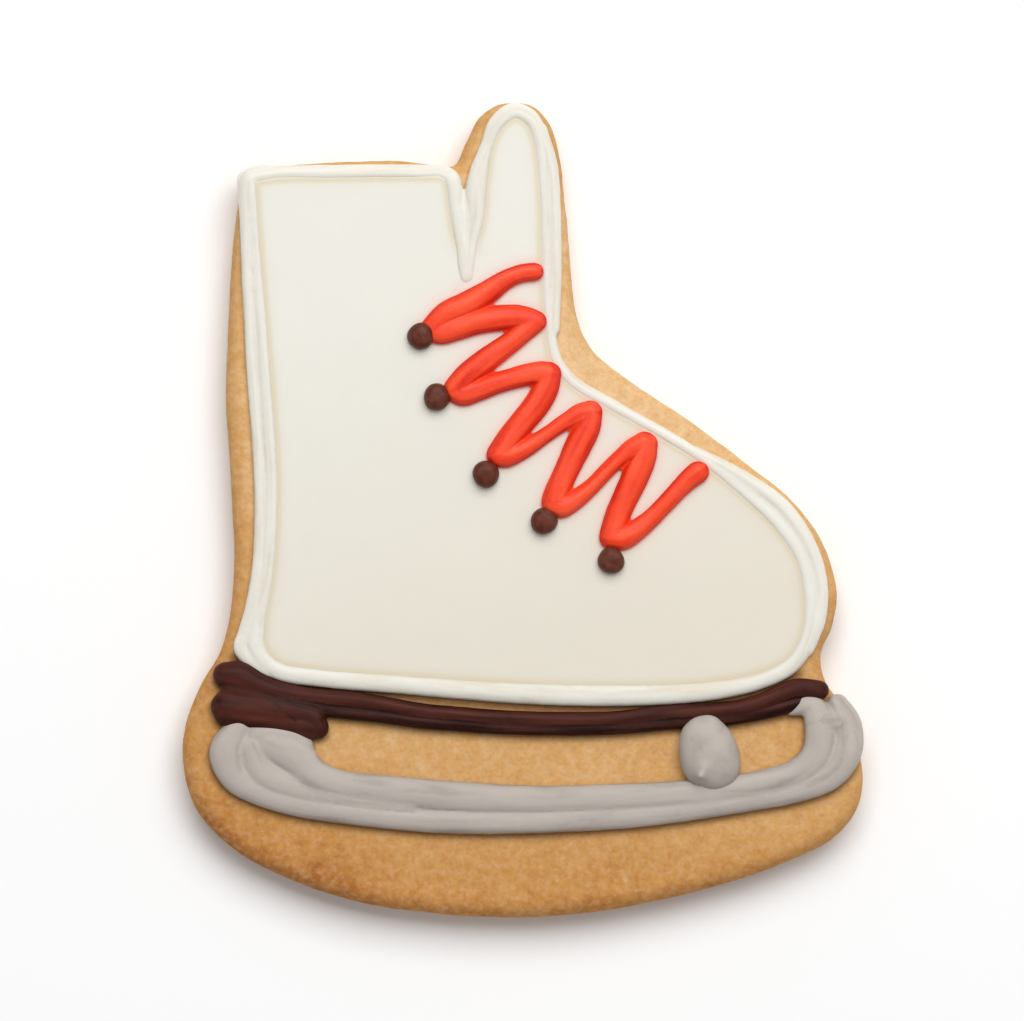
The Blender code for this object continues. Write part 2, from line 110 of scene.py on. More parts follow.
# The biscuit's edge, clockwise from the back of the cuff.
BISCUIT_EDGE = [
    (-34.9, 42.1), (-31.0, 43.0), (-21.6, 43.6), (-15.4, 43.75), (-11.0, 43.25),
    (-8.7, 43.2), (-7.1, 46.25), (-5.75, 48.9), (-3.5, 50.6), (-1.0, 51.0), (1.5, 50.5),
    (3.6, 48.0), (4.6, 44.4), (5.4, 37.5), (6.0, 30.0), (6.9, 23.75), (8.6, 20.25),
    (12.1, 17.1), (19.6, 12.0), (27.1, 6.5), (33.4, 1.5), (37.2, -3.5), (39.3, -10.0),
    (38.8, -14.4), (37.3, -18.2), (37.8, -21.25), (40.0, -24.4), (41.8, -28.75),
    (42.6, -33.6), (41.8, -37.6), (38.7, -41.2), (32.75, -44.2), (25.25, -46.8),
    (14.6, -49.4), (6.5, -50.6), (-1.0, -51.0), (-10.4, -50.6), (-19.75, -49.25),
    (-29.1, -46.4), (-36.6, -42.25), (-41.0, -37.25), (-42.5, -31.9), (-42.25, -26.9),
    (-40.4, -21.9), (-37.9, -17.5), (-36.75, -13.1), (-36.25, -5.6), (-36.6, 3.75),
    (-37.3, 15.0), (-36.9, 23.1), (-36.4, 32.5), (-35.75, 38.1),
]

# Strokes: (x, y, half width) along each one's middle.
BORDER_CUFF = [
    (-7.15, 29.1, 1.05), (-7.25, 30.5, 1.2), (-7.4, 32.5, 1.2), (-7.9, 34.5, 1.1),
    (-8.25, 36.5, 1.05), (-8.55, 38.7, 1.05), (-8.7, 40.4, 1.12), (-9.1, 41.5, 1.08),
    (-10.3, 42.1, 0.98), (-12.9, 42.15, 0.97), (-22.9, 42.1, 1.0), (-31.0, 41.95, 1.0),
    (-33.9, 41.5, 1.1),
]
BORDER_CORNER = [(-34.4, 41.2, 1.35), (-33.2, 41.9, 1.2), (-31.8, 42.1, 1.0)]
BORDER_NOTCH = [
    (-7.4, 39.3, 0.35), (-7.2, 37.0, 0.8), (-7.1, 34.0, 0.9), (-7.05, 31.0, 0.9),
    (-7.0, 29.1, 1.0),
]
BORDER_BOOT = [
    (-34.1, 41.3, 1.0), (-33.7, 37.0, 0.85), (-33.2, 30.5, 0.85), (-32.6, 22.5, 0.9),
    (-31.9, 13.75, 0.95), (-31.5, 6.25, 1.0), (-31.5, -1.25, 1.05), (-32.1, -8.75, 1.05),
    (-33.1, -14.0, 1.15), (-33.2, -17.5, 1.4), (-30.8, -19.9, 1.25),
    (-25.4, -20.9, 1.2), (-15.4, -21.7, 1.25), (-2.9, -22.65, 1.35), (9.6, -23.1, 1.4),
    (22.1, -22.65, 1.3), (29.6, -21.2, 1.2), (33.6, -19.2, 1.1), (35.5, -15.9, 1.05),
    (35.9, -11.25, 1.0), (34.9, -6.25, 1.0), (32.0, -1.9, 1.0), (27.0, 2.8, 0.95),
    (22.1, 6.5, 0.85), (17.1, 9.6, 0.85), (10.9, 13.1, 0.85), (6.1, 16.0, 0.85),
    (4.0, 18.9, 0.85), (3.2, 23.75, 0.75), (2.75, 31.25, 0.75), (2.6, 38.75, 0.75),
    (2.1, 46.0, 1.0), (0.93, 48.75, 1.12), (-1.1, 49.68, 1.15), (-3.15, 48.3, 1.08),
    (-4.4, 45.4, 0.92), (-5.35, 42.2, 1.3), (-5.75, 40.0, 1.42), (-5.9, 36.5, 1.25),
    (-6.4, 33.5, 1.05), (-6.75, 31.0, 1.05), (-6.9, 29.2, 1.0),
]
BORDER_BACK_PASS = [
    (-34.5, 40.8, 1.15), (-34.5, 35.0, 0.8), (-34.3, 27.5, 0.75), (-33.9, 20.0, 0.75),
    (-33.4, 12.5, 0.75), (-32.9, 5.0, 0.75), (-32.8, -1.25, 0.75), (-33.1, -7.5, 0.8),
    (-33.9, -12.5, 0.85), (-34.7, -15.4, 0.9), (-35.2, -17.2, 0.95), (-34.3, -18.5, 1.0),
    (-33.2, -19.3, 1.05), (-31.8, -20.0, 0.95),
]
BORDER_TONGUE_PASS = [
    (2.4, 47.6, 0.6), (3.6, 43.0, 0.7), (3.95, 36.25, 0.75), (4.05, 28.75, 0.75),
    (3.9, 22.5, 0.65),
]
BORDER_TOE_PASS = [
    (21.5, 7.4, 0.6), (27.5, 4.0, 0.9), (32.6, 0.2, 0.95), (35.8, -4.6, 0.95),
    (37.2, -9.4, 0.85), (37.0, -13.75, 0.8), (35.6, -17.5, 0.7),
]
BORDER_STROKES = [BORDER_BOOT, BORDER_CUFF, BORDER_CORNER, BORDER_NOTCH,
                  BORDER_BACK_PASS, BORDER_TONGUE_PASS, BORDER_TOE_PASS]
# How much painted shade darkens each of those strokes on its left, where it dips into the
# panel.
BORDER_SIDE_SHADE = (0.22, 0.22, 0.0, 0.0, 0.0, 0.0, 0.0)
LACE_STROKES = [
    [(1.45, 29.75, 1.1), (-0.12, 29.56, 1.12), (-2.0, 28.83, 1.2), (-4.69, 27.0, 1.5),
     (-7.15, 25.65, 1.56), (-9.65, 24.44, 1.5), (-11.5, 22.56, 1.38)],
    [(-11.25, 22.31, 1.38), (-10.25, 22.15, 1.44), (-8.25, 22.75, 1.52),
     (-5.62, 23.56, 1.57), (-2.88, 23.98, 1.6), (-0.75, 24.09, 1.5), (0.75, 23.9, 1.38),
     (1.62, 23.56, 1.31)],
    [(1.62, 23.56, 1.31), (0.12, 22.31, 1.32), (-2.0, 20.62, 1.38), (-4.38, 18.88, 1.54),
     (-6.88, 16.88, 1.56), (-8.5, 15.12, 1.44)],
    [(-8.38, 14.81, 1.44), (-7.5, 14.44, 1.44), (-5.75, 14.94, 1.38),
     (-3.38, 15.83, 1.35), (-1.62, 16.33, 1.3), (0.38, 16.85, 1.36), (2.0, 17.09, 1.44),
     (3.31, 17.0, 1.48)],
    [(3.31, 17.0, 1.48), (2.88, 15.38, 1.62), (1.91, 13.44, 1.62), (-0.38, 10.58, 1.55),
     (-1.62, 9.06, 1.54), (-3.06, 6.94, 1.5)],
    [(-3.06, 6.81, 1.48), (-2.0, 6.75, 1.4), (-0.88, 7.12, 1.25), (0.88, 8.05, 1.1),
     (3.25, 9.65, 0.94), (4.5, 10.5, 0.97), (5.81, 11.31, 1.07), (7.12, 12.04, 1.25),
     (8.44, 12.19, 1.48)],
    [(8.44, 12.19, 1.48), (8.0, 10.38, 1.66), (6.92, 8.06, 1.68), (5.62, 5.25, 1.52),
     (4.19, 2.12, 1.54), (3.81, 1.0, 1.52)],
    [(3.81, 0.81, 1.5), (4.81, 0.44, 1.43), (5.88, 0.88, 1.27), (7.12, 1.75, 1.15),
     (8.44, 2.84, 1.0), (10.94, 5.38, 0.99), (12.22, 6.56, 1.05), (13.62, 7.62, 1.25),
     (15.19, 8.19, 1.6)],
    [(15.19, 8.19, 1.6), (14.94, 6.62, 1.7), (14.25, 4.81, 1.73), (12.5, 0.94, 1.57),
     (11.92, -0.38, 1.56), (11.04, -3.25, 1.52)],
    [(11.04, -3.38, 1.52), (12.38, -3.5, 1.48), (13.62, -2.88, 1.4), (15.5, -1.47, 1.19),
     (17.28, 0.27, 1.1), (18.53, 1.6, 1.12), (19.8, 2.95, 1.18), (20.88, 4.0, 1.3),
     (21.81, 4.71, 1.38)],
]
SOLE_STROKES = [
    [(-37.1, -20.6, 1.6), (-35.6, -20.8, 1.95), (-32.6, -22.0, 1.5), (-27.9, -23.1, 1.15),
     (-20.4, -23.9, 1.1), (-12.9, -25.1, 1.0), (-7.9, -25.6, 1.0), (-2.9, -26.0, 1.0),
     (4.6, -26.25, 1.0), (12.1, -26.1, 1.0), (17.1, -25.5, 1.05), (22.1, -25.25, 1.1),
     (27.1, -24.8, 1.12), (30.0, -24.0, 1.15), (32.1, -23.1, 1.2), (34.2, -22.35, 1.25),
     (37.0, -22.5, 1.2)],
    [(-29.5, -23.9, 0.9), (-23.5, -25.1, 0.85), (-18.0, -25.7, 0.85), (-12.9, -26.4, 0.85),
     (-7.9, -26.8, 0.85), (-2.9, -27.15, 0.83), (4.6, -27.35, 0.83), (12.1, -27.15, 0.85),
     (17.1, -26.65, 0.88), (22.1, -26.25, 0.9), (27.1, -25.8, 0.9), (32.1, -24.75, 0.9),
     (34.5, -24.1, 0.85)],
    [(-37.0, -24.5, 1.95), (-34.75, -24.7, 1.9), (-30.4, -25.0, 1.8),
     (-26.5, -25.9, 1.5), (-25.6, -27.2, 1.35)],
    [(-36.4, -22.6, 1.4), (-33.2, -23.2, 1.45), (-30.4, -25.0, 1.5), (-28.6, -26.6, 1.3)],
    [(-32.0, -23.2, 1.2), (-29.0, -24.2, 1.3), (-26.0, -25.4, 1.35)],
    [(-36.9, -25.5, 1.6), (-33.0, -26.0, 1.5), (-29.0, -26.6, 1.5), (-26.4, -27.2, 1.5)],
]
# How much painted shade darkens each of those strokes: the thin lower run, in the upper run's
# shade, the most.
SOLE_STROKE_SHADE = (0.0, 0.28, 0.0, 0.0, 0.0, 0.0)
BLADE_STROKES = [
    [(-35.1, -26.3, 1.3), (-36.0, -27.9, 1.7), (-37.0, -30.2, 2.2), (-35.9, -33.3, 1.9),
     (-33.0, -35.2, 1.6),
     (-27.9, -36.8, 1.5), (-20.4, -37.9, 1.5), (-11.6, -38.75, 1.5), (-2.9, -38.95, 1.5),
     (7.1, -38.6, 1.5), (17.1, -37.85, 1.45), (27.1, -36.4, 1.4), (34.6, -34.9, 1.5),
     (38.6, -33.0, 1.75), (40.5, -29.9, 1.9), (40.4, -26.6, 1.8), (39.3, -24.4, 1.4)],
    [(-31.6, -29.4, 2.0), (-28.6, -30.7, 2.3), (-26.2, -33.1, 2.1), (-23.2, -34.3, 1.9),
     (-16.6, -35.1, 1.9), (-7.9, -35.9, 1.95), (2.1, -36.3, 1.85), (12.1, -36.0, 1.8),
     (22.1, -35.4, 1.8), (29.6, -34.3, 1.75), (34.4, -32.8, 1.85), (36.8, -30.3, 1.95),
     (37.0, -26.8, 1.85), (35.9, -24.4, 1.45), (34.8, -24.5, 1.15), (33.9, -25.0, 0.75),
     (33.5, -25.2, 0.5)],
    [(-34.0, -29.8, 1.8), (-32.4, -33.0, 2.0), (-28.0, -35.0, 1.7), (-22.0, -36.4, 1.5),
     (-14.0, -37.2, 1.3)],
    [(-33.4, -28.0, 1.35), (-31.0, -28.1, 1.5), (-28.7, -28.6, 1.45), (-27.4, -29.3, 1.2)],
    [(36.9, -26.4, 1.5), (39.3, -26.3, 1.5)],
]

# The dots, from the top one down, and the dome of each: (share of its radius, of its height).
EYELET_PLACES = [(-12.75, 21.73), (-10.75, 14.1), (-4.63, 4.48), (2.63, -1.38), (11.0, -6.3)]
EYELET_RADIUS = 1.68
EYELET_HEIGHT = 2.15
EYELET_DOME = [
    (0.8, -0.1), (0.95, 0.04), (1.0, 0.2), (0.98, 0.45), (0.9, 0.67), (0.72, 0.86),
    (0.45, 0.96), (0.2, 0.99), (0.02, 1.0),
]

# The dab's outline, counter-clockwise from its top, and its middle, height and peak.
POST_EDGE = [
    (22.75, -25.56), (21.19, -26.0), (20.0, -27.19), (19.5, -28.75), (19.5, -30.62),
    (19.94, -32.5), (20.88, -33.91), (22.44, -34.75), (24.31, -34.91), (26.19, -34.06),
    (27.03, -32.66), (27.12, -31.25), (26.91, -29.69), (26.34, -28.28), (25.25, -26.88),
    (24.0, -25.78),
]
POST_PLACE = (23.25, -30.4)
POST_RISE = 2.6
POST_TIP = (22.05, -33.3)
# What the tip left there: (shift in x, shift in y, height, radius) of the nipple, the swell
# above it and the dip below it.
POST_BUMPS = [(0.0, 0.0, 1.0, 0.6), (0.45, 0.9, 0.4, 0.9), (0.25, -0.95, -0.3, 0.7)]

# The dough's colours: soft patches as (size, tint, strength), and small spots as (size of a
# cell, reach from its middle, share of the cells without a spot, tint, strength).
DOUGH_PATCHES = [(0.8, "#E0B892", 0.4), (1.1, "#D89A45", 0.35)]
DOUGH_SPOTS = [
    (1.9, 0.34, 0.9, "#EBD2AE", 0.28), (2.8, 0.26, 0.86, "#C97F28", 0.6),
    (1.4, 0.24, 0.9, "#B07A45", 0.35),
]
SPOT_BEND = 0.8

# The room, in metres: the table's half width, the window's place, size and power, the
# light from all round, and the camera's height, sensor, view width and middle.
TABLE_HALF = 1.5
WINDOW_PLACE = (0.12, 0.48, 0.85)
WINDOW_SIZE = (0.9, 0.7)
WINDOW_POWER = 9.1
ROOM_LIGHT = 0.365
CAMERA_HEIGHT = 1.5
SENSOR_WIDTH_MM = 36.0
VIEW_WIDTH = 0.128
VIEW_LEVEL = 0.006
VIEW_MIDDLE = (-1.375 * MM, -0.0625 * MM)


def smooth_path(points, step, closed=False):
    """Rows on a centripetal Catmull-Rom curve through the points, `step` apart or closer."""
    rows = np.array(points, dtype=float)
    if closed:
        rows = np.vstack([rows[-1:], rows, rows[:2]])
    else:
        rows = np.vstack([2 * rows[0] - rows[1], rows, 2 * rows[-1] - rows[-2]])
    out = []
    for p0, p1, p2, p3 in zip(rows, rows[1:], rows[2:], rows[3:]):
        t1 = math.sqrt(np.linalg.norm(p1[:2] - p0[:2]))
        t2 = t1 + math.sqrt(np.linalg.norm(p2[:2] - p1[:2]))
        t3 = t2 + math.sqrt(np.linalg.norm(p3[:2] - p2[:2]))
        count = max(2, math.ceil(np.linalg.norm(p2[:2] - p1[:2]) / step))
        t = np.linspace(t1, t2, count, endpoint=False)[:, None]
        a1 = (t1 - t) / t1 * p0 + t / t1 * p1
        a2 = (t2 - t) / (t2 - t1) * p1 + (t - t1) / (t2 - t1) * p2
        a3 = (t3 - t) / (t3 - t2) * p2 + (t - t2) / (t3 - t2) * p3
        b1 = (t2 - t) / t2 * a1 + t / t2 * a2
        b2 = (t3 - t) / (t3 - t1) * a2 + (t - t1) / (t3 - t1) * a3
        out.append((t2 - t) / (t2 - t1) * b1 + (t - t1) / (t2 - t1) * b2)
    if not closed:
        out.append(rows[-2:-1])
    return np.vstack(out)


def left_normals(rows, closed=False):
    """Unit vectors to the left of a path in plan: outward for a clockwise loop."""
    if closed:
        along = np.roll(rows, -1, axis=0) - np.roll(rows, 1, axis=0)
    else:
        along = np.gradient(rows, axis=0)
    normals = np.stack([-along[:, 1], along[:, 0]], axis=1)
    return normals / np.linalg.norm(normals, axis=1)[:, None]


class Trace:
    """Lines sampled finely, to find where a point lies beside the nearest of them."""

    def __init__(self, lines, closed=False):
        place, half, side, along, number = [], [], [], [], []
        for index, line in enumerate(lines):
            rows = smooth_path(line, TRACE_STEP, closed)
            place.append(rows[:, :2])
            half.append(rows[:, 2] if rows.shape[1] > 2 else np.ones(len(rows)))
            side.append(left_normals(rows[:, :2], closed))
            steps = np.linalg.norm(np.diff(rows[:, :2], axis=0), axis=1)
            along.append(np.concatenate([[0.0], np.cumsum(steps)]))
            number.append(np.full(len(rows), index))
        self.place, self.half = np.vstack(place), np.concatenate(half)
        self.side, self.along = np.vstack(side), np.concatenate(along)
        self.number = np.concatenate(number)
        self.tree = kdtree.KDTree(len(self.place))
        for index, (x, y) in enumerate(self.place):
            self.tree.insert((x, y, 0.0), index)
        self.tree.balance()

    def find(self, points):
        """For each point: its distance, its signed way across, and the sample it is by."""
        index = np.array([self.tree.find((x, y, 0.0))[1] for x, y in points[:, :2]])
        offset = points[:, :2] - self.place[index]
        across = (offset * self.side[index]).sum(axis=1)
        return np.hypot(offset[:, 0], offset[:, 1]), across, index


def noise_at(points, size, octaves=2, shift=0.0):
    """Smooth noise from about -1 to 1 at each point, with lumps of about that size."""
    return np.array([noise.fractal(Vector(row), 1.0, 2.0, octaves)
                     for row in points / size + shift])


def relief_at(points, layers):
    """The height of the relief at each point, summed over its layers of noise."""
    return sum(height * noise_at(points, *layer) for height, *layer in layers)


def blend(low, high, value):
    """0 below low, 1 above high, and smooth between."""
    share = np.clip((value - low) / (high - low), 0.0, 1.0)
    return share * share * (3 - 2 * share)


def clear_of(trace, points):
    """How far each point lies outside the strokes, negative within them."""
    away, _, index = trace.find(points)
    return away - trace.half[index]


EDGE_TRACE = Trace([BISCUIT_EDGE], closed=True)


def rim_height(points):
    """Height of the biscuit's top over each point, lower over its rounded rim."""
    _, across, _ = EDGE_TRACE.find(points)
    short = RIM_RADIUS - np.clip(-across, 0.0, RIM_RADIUS)
    return BISCUIT_TOP - RIM_RADIUS + np.sqrt(RIM_RADIUS ** 2 - short ** 2)


def points_of(mesh):
    """The mesh's points as rows."""
    points = np.empty(len(mesh.vertices) * 3)
    mesh.vertices.foreach_get("co", points)
    return points.reshape(-1, 3)


def normals_of(mesh):
    """The mesh's normals at its points as rows."""
    normals = np.empty(len(mesh.vertices) * 3)
    mesh.vertex_normals.foreach_get("vector", normals)
    return normals.reshape(-1, 3)


def set_points(mesh, points):
    """Move the mesh's points to these rows."""
    mesh.vertices.foreach_set("co", points.ravel())
    mesh.update()


def set_values(mesh, name, values):
    """Keep one number for each point in the mesh, for its material to read."""
    layer = mesh.attributes.new(name, "FLOAT", "POINT")
    layer.data.foreach_set("value", np.asarray(values, dtype=np.float32))


def plan_triangles(loop, insets, spacing, seed):
    """Points and triangles inside the loop: rows along its edge, then a loose even grid.

    The loop's own points come first in the result, in their order.
    """
    rows = [loop - left_normals(loop, closed=True) * inset for inset in insets]
    low, high = loop.min(axis=0), loop.max(axis=0)
    height = spacing * math.sqrt(3) / 2
    grid = [(x + (line % 2) * spacing / 2, y)
            for line, y in enumerate(np.arange(low[1], high[1], height))
            for x in np.arange(low[0], high[0], spacing)]
    jitter = np.random.default_rng(seed).uniform(-GRID_JITTER, GRID_JITTER, (len(grid), 2))
    grid = np.array(grid) + jitter * spacing
    tree = kdtree.KDTree(len(loop))
    for index, (x, y) in enumerate(loop):
        tree.insert((x, y, 0.0), index)
    tree.balance()
    room = spacing * GRID_ROOM + (insets[-1] if insets else 0.0)
    far = np.array([tree.find((x, y, 0.0))[2] > room for x, y in grid])
    points = [Vector(row) for row in np.vstack([loop, *rows, grid[far]])]
    count = len(loop)
    edges = [(index, (index + 1) % count) for index in range(count)]
    places, _, faces, sources, _, _ = delaunay_2d_cdt(points, edges, [], 1, 1e-5)
    order = {source: index for index, found in enumerate(sources) for source in found}
    first = [order[index] for index in range(count)]
    inside = {index for face in faces for index in face}
    ranked = first + sorted(inside.difference(first))
    rank = {old: new for new, old in enumerate(ranked)}
    plan = np.array([places[index] for index in ranked])
    return plan, [tuple(rank[index] for index in face) for face in faces]


def slab_mesh(name, loop, insets, spacing, top_height, wall, seed):
    """A closed slab: a fine top sheet, rows down its wall, and a plainer bottom sheet.

    `top_height` gives the top's heights, and `wall` is (inset, height) from the top
    sheet's edge down to the bottom sheet's.
    """
    outward = left_normals(loop, closed=True)
    count = len(loop)
    plan, top_faces = plan_triangles(loop, insets, spacing, seed)
    top = np.column_stack([plan, top_height(plan)])
    rings = [np.column_stack([loop - outward * inset, np.full(count, height)])
             for inset, height in wall[:-1]]
    inset, height = wall[-1]
    low_plan, low_faces = plan_triangles(loop - outward * inset, [], spacing * 2, seed + 1)
    low = np.column_stack([low_plan, np.full(len(low_plan), height)])

    starts = [0] + [len(top) + count * ring for ring in range(len(rings) + 1)]
    faces = list(top_faces)
    for above, below in zip(starts, starts[1:]):
        for index in range(count):
            after = (index + 1) % count
            faces.append((above + index, above + after, below + after, below + index))
    faces += [tuple(starts[-1] + index for index in reversed(face)) for face in low_faces]
    mesh = bpy.data.meshes.new(name)
    mesh.from_pydata(np.vstack([top, *rings, low]).tolist(), [], faces)
    return mesh


def stroke_shell(points, seat, squash, base):
    """A rounded stroke laid along the points on a surface: its points and faces.

    Its middle lies `seat` of its half height over `base`. A wider stroke is only a little
    taller, because soft icing spreads, and `squash` is the half height of one 2 mm wide.
    """
    path = smooth_path(points, STROKE_STEP)
    tall = squash * np.sqrt(path[:, 2])
    rows = np.column_stack([path[:, :2], base(path) + seat * tall, path[:, 2], tall,
                            left_normals(path[:, :2])])
    round_end = np.radians(ROUND_END)
    caps = []
    for end, beyond in ((0, path[0] - path[1]), (-1, path[-1] - path[-2])):
        reach = beyond[:2] / np.linalg.norm(beyond[:2]) * path[end, 2]
        cap = np.tile(rows[end], (len(round_end), 1))
        cap[:, :2] += np.outer(np.sin(round_end), reach)
        cap[:, 3:5] *= np.cos(round_end)[:, None]
        caps.append(cap)
    rows = np.vstack([caps[0][::-1], rows, caps[1]])
    x, y, z, half, tall, side_x, side_y = rows.T[..., None]
    turn = np.linspace(2 * math.pi, 0, STROKE_SIDES, endpoint=False)
    return ring_solid(np.stack([x + side_x * half * np.cos(turn),
                                y + side_y * half * np.cos(turn),
                                z + tall * np.sin(turn)], axis=2))


def ring_solid(rings):
    """Points and faces of a closed solid through its rings, from its foot up."""
    sides = len(rings[0])
    last = (len(rings) - 1) * sides
    faces = [tuple(range(sides - 1, -1, -1)), tuple(range(last, last + sides))]
    for row in range(len(rings) - 1):
        for index in range(sides):
            after = (index + 1) % sides
            faces.append((row * sides + index, row * sides + after,
                          (row + 1) * sides + after, (row + 1) * sides + index))
    return np.vstack(rings), faces


def run_together(name, shells, voxel, rounds):
    """One closed mesh of all the shells, with the creases between them softened."""
    verts, faces = [], []
    for shell, shell_faces in shells:
        start = sum(len(part) for part in verts)
        verts.append(shell)
        faces += [tuple(start + index for index in face) for face in shell_faces]
    mesh = bpy.data.meshes.new(name + "_shells")
    mesh.from_pydata(np.vstack(verts).tolist(), [], faces)
    holder = bpy.data.objects.new(name + "_shells", mesh)
    bpy.context.scene.collection.objects.link(holder)
    joined = holder.modifiers.new("joined", "REMESH")
    joined.mode = "VOXEL"
    joined.voxel_size = voxel
    softened = holder.modifiers.new("softened", "SMOOTH")
    softened.iterations = rounds
    bpy.context.view_layer.update()
    evaluated = holder.evaluated_get(bpy.context.evaluated_depsgraph_get())
    result = bpy.data.meshes.new_from_object(evaluated)
    bpy.data.objects.remove(holder, do_unlink=True)
    bpy.data.meshes.remove(mesh)
    result.name = name
    return result


def place_piece(name, mesh, nodes, material):
    """The finished mesh as a piece of the part, in metres, with its material."""
    set_points(mesh, points_of(mesh) * MM)
    mesh.materials.clear()
    mesh.materials.append(material)
    mesh.shade_smooth()
    piece = bpy.data.objects.new(name, mesh)
    bpy.context.scene.collection.objects.link(piece)
    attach(piece, "root")
    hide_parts(*nodes)
    return piece


def linear(code):
    """A colour's sRGB hex code as linear red, green, blue and full alpha."""
    parts = [int(code[start:start + 2], 16) / 255 for start in (1, 3, 5)]
    return [part / 12.92 if part <= 0.04045 else ((part + 0.055) / 1.055) ** 2.4
            for part in parts] + [1.0]


def per_mm(size):
    """A texture scale that gives lumps of about that many millimetres."""
    return 1 / (size * MM)


def add_node(material, kind, feeds=None, stops=None, **settings):
    """A node with its settings; `feeds` are values or outputs for its inputs by name."""
    node = material.node_tree.nodes.new("ShaderNode" + kind)
    for key, value in settings.items():
        setattr(node, key, value)
    for key, value in (feeds or {}).items():
        if isinstance(value, bpy.types.NodeSocket):
            material.node_tree.links.new(value, node.inputs[key])
        else:
            node.inputs[key].default_value = value
    if stops:
        ramp = node.color_ramp
        while len(ramp.elements) < len(stops):
            ramp.elements.new(1.0)
        for element, (position, code) in zip(ramp.elements, stops):
            element.position = position
            element.color = linear(code)
    return node


def new_material(name, **values):
    """An empty node material with its Principled shader, and object coordinates."""
    material = bpy.data.materials.new(name)
    material.use_nodes = True
    shader = material.node_tree.nodes["Principled BSDF"]
    for key, value in values.items():
        shader.inputs[key.replace("_", " ")].default_value = value
    place = add_node(material, "TexCoord").outputs["Object"]
    return material, shader, place


def mixed(material, share, under, over, mode="MIX"):
    """Two colours mixed by a share, each a hex code or an output."""
    feeds = {0: share,
             6: linear(under) if isinstance(under, str) else under,
             7: linear(over) if isinstance(over, str) else over}
    node = add_node(material, "Mix", feeds, data_type="RGBA", blend_type=mode)
    return node.outputs[2]


def baked_short_dough():
    """Baked short dough: golden, matt and open, with sandy crumb and toasted grains.

    Sugar grains of about 0.3 mm are drawn at 0.5 mm, as fine as the photo shows them.
    """
    material, shader, place = new_material(
        "baked_short_dough", Roughness=0.85, IOR=1.4, Subsurface_Weight=0.08,
        Subsurface_Scale=0.001, Specular_IOR_Level=0.3)
    browning = add_node(material, "Attribute", attribute_name="browning").outputs["Fac"]
    crumb = add_node(material, "TexNoise", {"Vector": place, "Scale": per_mm(1.5),
                                            "Detail": 3.0, "Roughness": 0.5})
    sand = add_node(material, "TexNoise", {"Vector": place, "Scale": per_mm(0.5),
                                           "Detail": 2.0, "Roughness": 0.5})
    share = add_node(material, "Math", {0: crumb.outputs["Fac"], 1: 0.5, 2: browning},
                     operation="MULTIPLY_ADD")
    baked = add_node(material, "ValToRGB", {"Fac": share.outputs[0]}, stops=[
        (0.2, "#E9C698"), (0.5, "#D5A76C"), (0.8, "#C58D4E"), (1.0, "#AB6E35")])
    grit = add_node(material, "ValToRGB", {"Fac": sand.outputs["Fac"]}, stops=[
        (0.3, "#E9DBCB"), (0.5, "#FBF7F2"), (0.7, "#FFFFFF")])
    colour = mixed(material, 0.55, baked.outputs[0], grit.outputs[0], "MULTIPLY")
    for size, tint, strength in DOUGH_PATCHES:
        patch = add_node(material, "TexNoise", {"Vector": place, "Scale": per_mm(size),
                                                "Detail": 2.0})
        cover = add_node(material, "MapRange", {
            "Value": patch.outputs["Fac"], "From Min": 0.45, "From Max": 0.8,
            "To Max": strength})
        colour = mixed(material, cover.outputs[0], colour, tint)
    # A noise bends the places where spots are looked up, so that none comes out round.
    bend = add_node(material, "TexNoise", {"Vector": place, "Scale": per_mm(0.9),
                                           "Detail": 1.0})
    bent = add_node(material, "VectorMath", {
        0: bend.outputs["Color"], 1: (SPOT_BEND * MM,) * 3, 2: place},
        operation="MULTIPLY_ADD")
    for size, reach, without, tint, strength in DOUGH_SPOTS:
        cells = add_node(material, "TexVoronoi", {"Vector": bent.outputs[0],
                                                  "Scale": per_mm(size)})
        near = add_node(material, "MapRange", {
            "Value": cells.outputs["Distance"], "From Min": reach * 0.35,
            "From Max": reach, "To Min": strength, "To Max": 0.0})
        chosen = add_node(material, "Math", {0: cells.outputs["Color"], 1: without},
                          operation="GREATER_THAN")
        spot = add_node(material, "Math", {0: near.outputs[0], 1: chosen.outputs[0]},
                        operation="MULTIPLY")
        colour = mixed(material, spot.outputs[0], colour, tint)
    # Painted shade: the dough goes dark brown in the shadowed pocket and just below the sole
    # and the blade.
    painted_shade = add_node(material, "Attribute", attribute_name="painted_shade").outputs["Fac"]
    colour = mixed(material, painted_shade, colour, "#7E5632")
    material.node_tree.links.new(colour, shader.inputs["Base Color"])
    relief = add_node(material, "Math", {0: crumb.outputs["Fac"], 1: sand.outputs["Fac"]},
                      operation="ADD")
    bump = add_node(material, "Bump", {"Height": relief.outputs[0], "Strength": 0.45,
                                       "Distance": 0.15 * MM})
    material.node_tree.links.new(bump.outputs[0], shader.inputs["Normal"])
    return material


